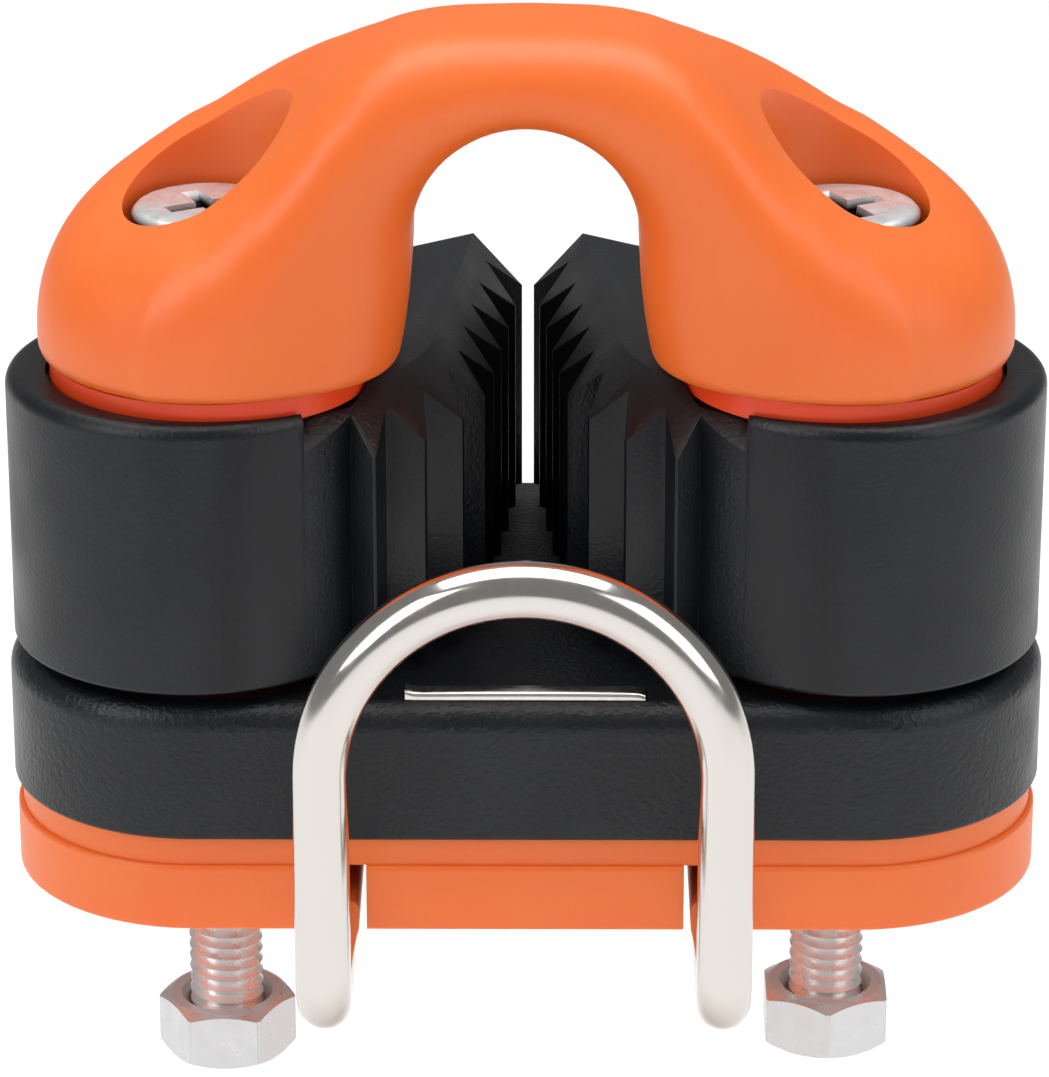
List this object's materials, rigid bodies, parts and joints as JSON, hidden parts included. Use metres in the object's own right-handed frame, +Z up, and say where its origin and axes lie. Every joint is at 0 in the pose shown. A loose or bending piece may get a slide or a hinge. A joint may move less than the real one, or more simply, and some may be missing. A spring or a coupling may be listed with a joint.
{
  "type": "cam cleat",
  "caption": "Cam cleat with sprung toothed cams on ball races, a moulded fairlead bridge, a wire bail and a wire carrier, clamped by screws with nuts.",
  "frame": {"origin": "on the deck face, the underside of the wire carrier, midway between the two screws", "axes": "+X from the left cam to the right cam along the row of screws, +Y from the wire bail towards the cam noses, +Z up from the deck"},
  "size_m": [0.0672, 0.0581, 0.0713],
  "materials": {
    "orange": "moulded orange nylon, satin",
    "race": "moulded orange-red acetal, satin",
    "cam": "glass-filled black nylon, fine grain",
    "base": "glass-filled black nylon, coarse grain",
    "ball": "polished stainless steel balls",
    "spring": "drawn spring wire",
    "strip": "rolled stainless strip",
    "wire": "polished stainless wire",
    "screw": "bright stainless fasteners"
  },
  "bodies": {
    "root": {"fairlead": "orange", "carrier": "orange", "left_hub": "race", "right_hub": "race", "left_race_cap": "race", "right_race_cap": "race", "base": "base", "left_spring": "spring", "right_spring": "spring", "wear_strip": "strip", "wire_bail": "wire", "left_screw": "screw", "right_screw": "screw", "left_nut": "screw", "right_nut": "screw"},
    "left_cam": {"left_cam": "cam"},
    "left_balls": {"left_lower_balls": "ball", "left_upper_balls": "ball"},
    "right_cam": {"right_cam": "cam"},
    "right_balls": {"right_lower_balls": "ball", "right_upper_balls": "ball"}
  },
  "joints": [
    {"name": "left_cam_swing", "type": "hinge", "parent": "root", "child": "left_cam", "pos_m": [-0.02, 0, 0.0254], "axis": [0, 0, 1], "range_deg": [0, 48], "stiffness_Nm_per_rad": 0.012, "springref_deg": -60.16, "deforming": ["left_spring"]},
    {"name": "left_balls_roll", "type": "hinge", "parent": "root", "child": "left_balls", "pos_m": [-0.02, 0, 0.0265], "axis": [0, 0, 1], "range_deg": [0, 26.43]},
    {"name": "right_cam_swing", "type": "hinge", "parent": "root", "child": "right_cam", "pos_m": [0.02, 0, 0.0254], "axis": [0, 0, -1], "range_deg": [0, 48], "stiffness_Nm_per_rad": 0.012, "springref_deg": -60.16, "deforming": ["right_spring"]},
    {"name": "right_balls_roll", "type": "hinge", "parent": "root", "child": "right_balls", "pos_m": [0.02, 0, 0.0265], "axis": [0, 0, -1], "range_deg": [0, 26.43]}
  ],
  "couplings": [
    {"joint": "left_balls_roll", "follows": "left_cam_swing", "ratio": 0.5505},
    {"joint": "right_balls_roll", "follows": "right_cam_swing", "ratio": 0.5505}
  ]
}
